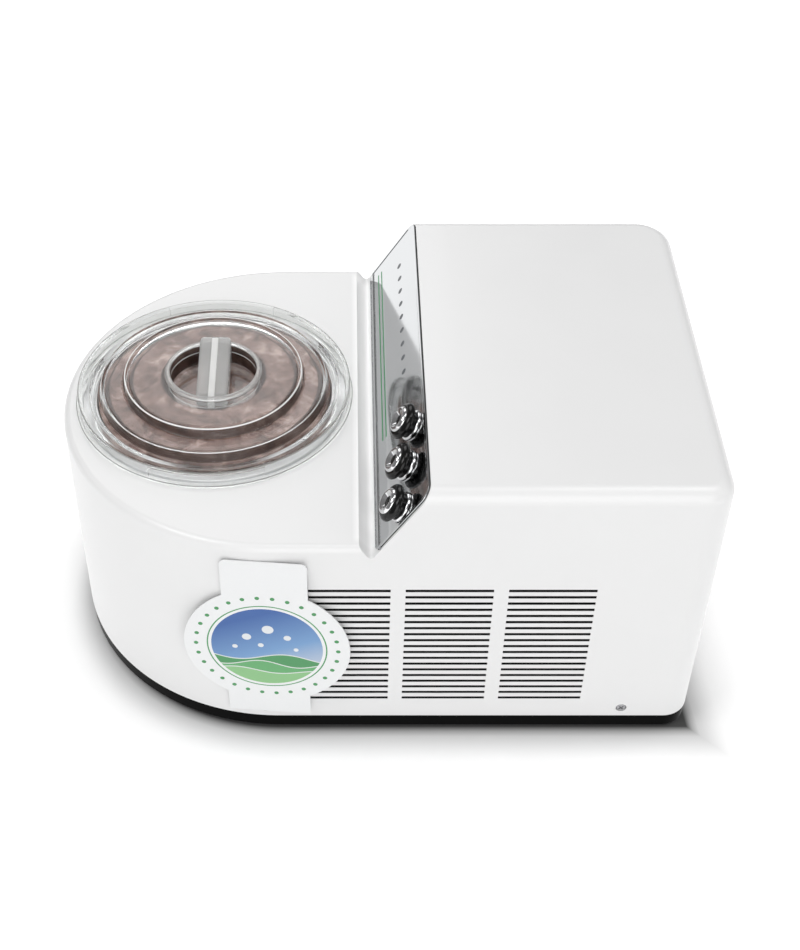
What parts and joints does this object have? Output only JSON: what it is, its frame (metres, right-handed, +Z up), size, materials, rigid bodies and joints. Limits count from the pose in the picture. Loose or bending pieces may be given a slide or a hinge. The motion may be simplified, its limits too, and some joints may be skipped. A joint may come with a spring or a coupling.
{
  "type": "ice cream maker",
  "caption": "Countertop compressor ice cream maker: white shell with a round end, lift-out bowl under a clear stepped lid, geared dasher, sloped bright panel with push buttons.",
  "frame": {"origin": "on the worktop under the middle of the body", "axes": "+X from the round bowl end to the tall box end, +Y from the front to the back, +Z up from the worktop"},
  "size_m": [0.4249, 0.3003, 0.2224],
  "materials": {
    "white_shell": "glossy white moulding",
    "black_base": "glossy black moulding",
    "foot_rubber": "matt",
    "screw_steel": "zinc plated",
    "panel_chrome": "mirror polished sheet",
    "button_black": "glossy",
    "button_chrome": "bright plated",
    "switch_plastic": "moulded",
    "board_laminate": "circuit board laminate",
    "label_card": "printed card",
    "foam_tape": "soft foam",
    "bowl_metal": "satin",
    "cooler_metal": "plain mill finish",
    "insulation_foam": "rigid cellular foam",
    "shaft_steel": "ground",
    "bush_bronze": "sintered bronze",
    "seal_rubber": "nitrile",
    "dasher_white": "food grade moulding",
    "clear_lid": "clear moulded plastic",
    "gear_nylon": "natural nylon",
    "gearbox_grey": "glass filled moulding",
    "motor_steel": "zinc plated can",
    "compressor_black": "black enamel",
    "bracket_steel": "black enamel",
    "fan_plastic": "moulded",
    "copper": "drawn copper tube",
    "inlet_black": "moulded",
    "pin_brass": "plated"
  },
  "bodies": {
    "housing": {"casing": "white_shell", "base_pan": "black_base", "rubber_feet": "foot_rubber", "casing_screws": "screw_steel", "front_grilles": "white_shell", "rear_grilles": "white_shell", "control_panel": "panel_chrome", "button_collars": "button_chrome", "button_switches": "switch_plastic", "control_board": "board_laminate", "front_label": "label_card", "label_pad": "foam_tape", "freezing_well": "cooler_metal", "evaporator_sleeve": "cooler_metal", "insulation": "insulation_foam", "upper_bush": "bush_bronze", "lower_bush": "bush_bronze", "shaft_seal": "seal_rubber", "idler_axle": "shaft_steel", "gearbox_case": "gearbox_grey", "gearbox_cover": "gearbox_grey", "gearbox_screws": "screw_steel", "motor_body": "motor_steel", "compressor_shell": "compressor_black", "compressor_bracket": "bracket_steel", "compressor_grommets": "foot_rubber", "condenser": "cooler_metal", "fan_shroud": "fan_plastic", "fan_motor": "motor_steel", "filter_drier": "copper", "suction_pipe": "copper", "capillary_tube": "copper", "liquid_pipe": "copper", "discharge_pipe": "copper", "power_inlet": "inlet_black", "inlet_pins": "pin_brass"},
    "drive": {"drive_shaft": "shaft_steel", "output_gear": "gear_nylon"},
    "idler": {"idler_gear": "gear_nylon"},
    "motor_rotor": {"motor_pinion": "shaft_steel"},
    "fan": {"fan_blades": "fan_plastic"},
    "front_push": {"front_button": "button_black", "front_button_cap": "button_chrome"},
    "middle_push": {"middle_button": "button_black", "middle_button_cap": "button_chrome"},
    "rear_push": {"rear_button": "button_black", "rear_button_cap": "button_chrome"},
    "bowl_body": {"bowl": "bowl_metal"},
    "dasher_body": {"dasher": "dasher_white", "dasher_grip": "dasher_white"},
    "lid_body": {"lid": "clear_lid"},
    "filler_body": {"filler_cap": "clear_lid"}
  },
  "joints": [
    {"name": "drive_spin", "type": "hinge", "parent": "housing", "child": "drive", "pos_m": [-0.1105, 0, 0], "axis": [0, 0, 1], "continuous": true},
    {"name": "idler_spin", "type": "hinge", "parent": "housing", "child": "idler", "pos_m": [-0.06675, 0, 0], "axis": [0, 0, 1], "continuous": true},
    {"name": "motor_spin", "type": "hinge", "parent": "housing", "child": "motor_rotor", "pos_m": [-0.03575, 0, 0], "axis": [0, 0, 1], "continuous": true},
    {"name": "fan_spin", "type": "hinge", "parent": "housing", "child": "fan", "pos_m": [0.0695, -0.095, 0.075], "axis": [0, 1, 0], "continuous": true},
    {"name": "bowl_lift", "type": "slide", "parent": "housing", "child": "bowl_body", "axis": [0, 0, 1], "range_m": [0, 0.12]},
    {"name": "dasher_spin", "type": "hinge", "parent": "bowl_body", "child": "dasher_body", "pos_m": [-0.1105, 0, 0.12], "axis": [0, 0, 1], "continuous": true},
    {"name": "lid_lift", "type": "slide", "parent": "bowl_body", "child": "lid_body", "axis": [0, 0, 1], "range_m": [0, 0.06]},
    {"name": "filler_lift", "type": "slide", "parent": "lid_body", "child": "filler_body", "axis": [0, 0, 1], "range_m": [0, 0.03]},
    {"name": "front_press", "type": "slide", "parent": "housing", "child": "front_push", "axis": [0.8444, 0, -0.5357], "range_m": [0, 0.0025], "stiffness_N_per_m": 800},
    {"name": "middle_press", "type": "slide", "parent": "housing", "child": "middle_push", "axis": [0.8444, 0, -0.5357], "range_m": [0, 0.0025], "stiffness_N_per_m": 800},
    {"name": "rear_press", "type": "slide", "parent": "housing", "child": "rear_push", "axis": [0.8444, 0, -0.5357], "range_m": [0, 0.0025], "stiffness_N_per_m": 800}
  ],
  "couplings": [
    {"joint": "idler_spin", "follows": "drive_spin", "ratio": -4},
    {"joint": "motor_spin", "follows": "drive_spin", "ratio": 16.667},
    {"joint": "dasher_spin", "follows": "drive_spin", "ratio": 1}
  ]
}
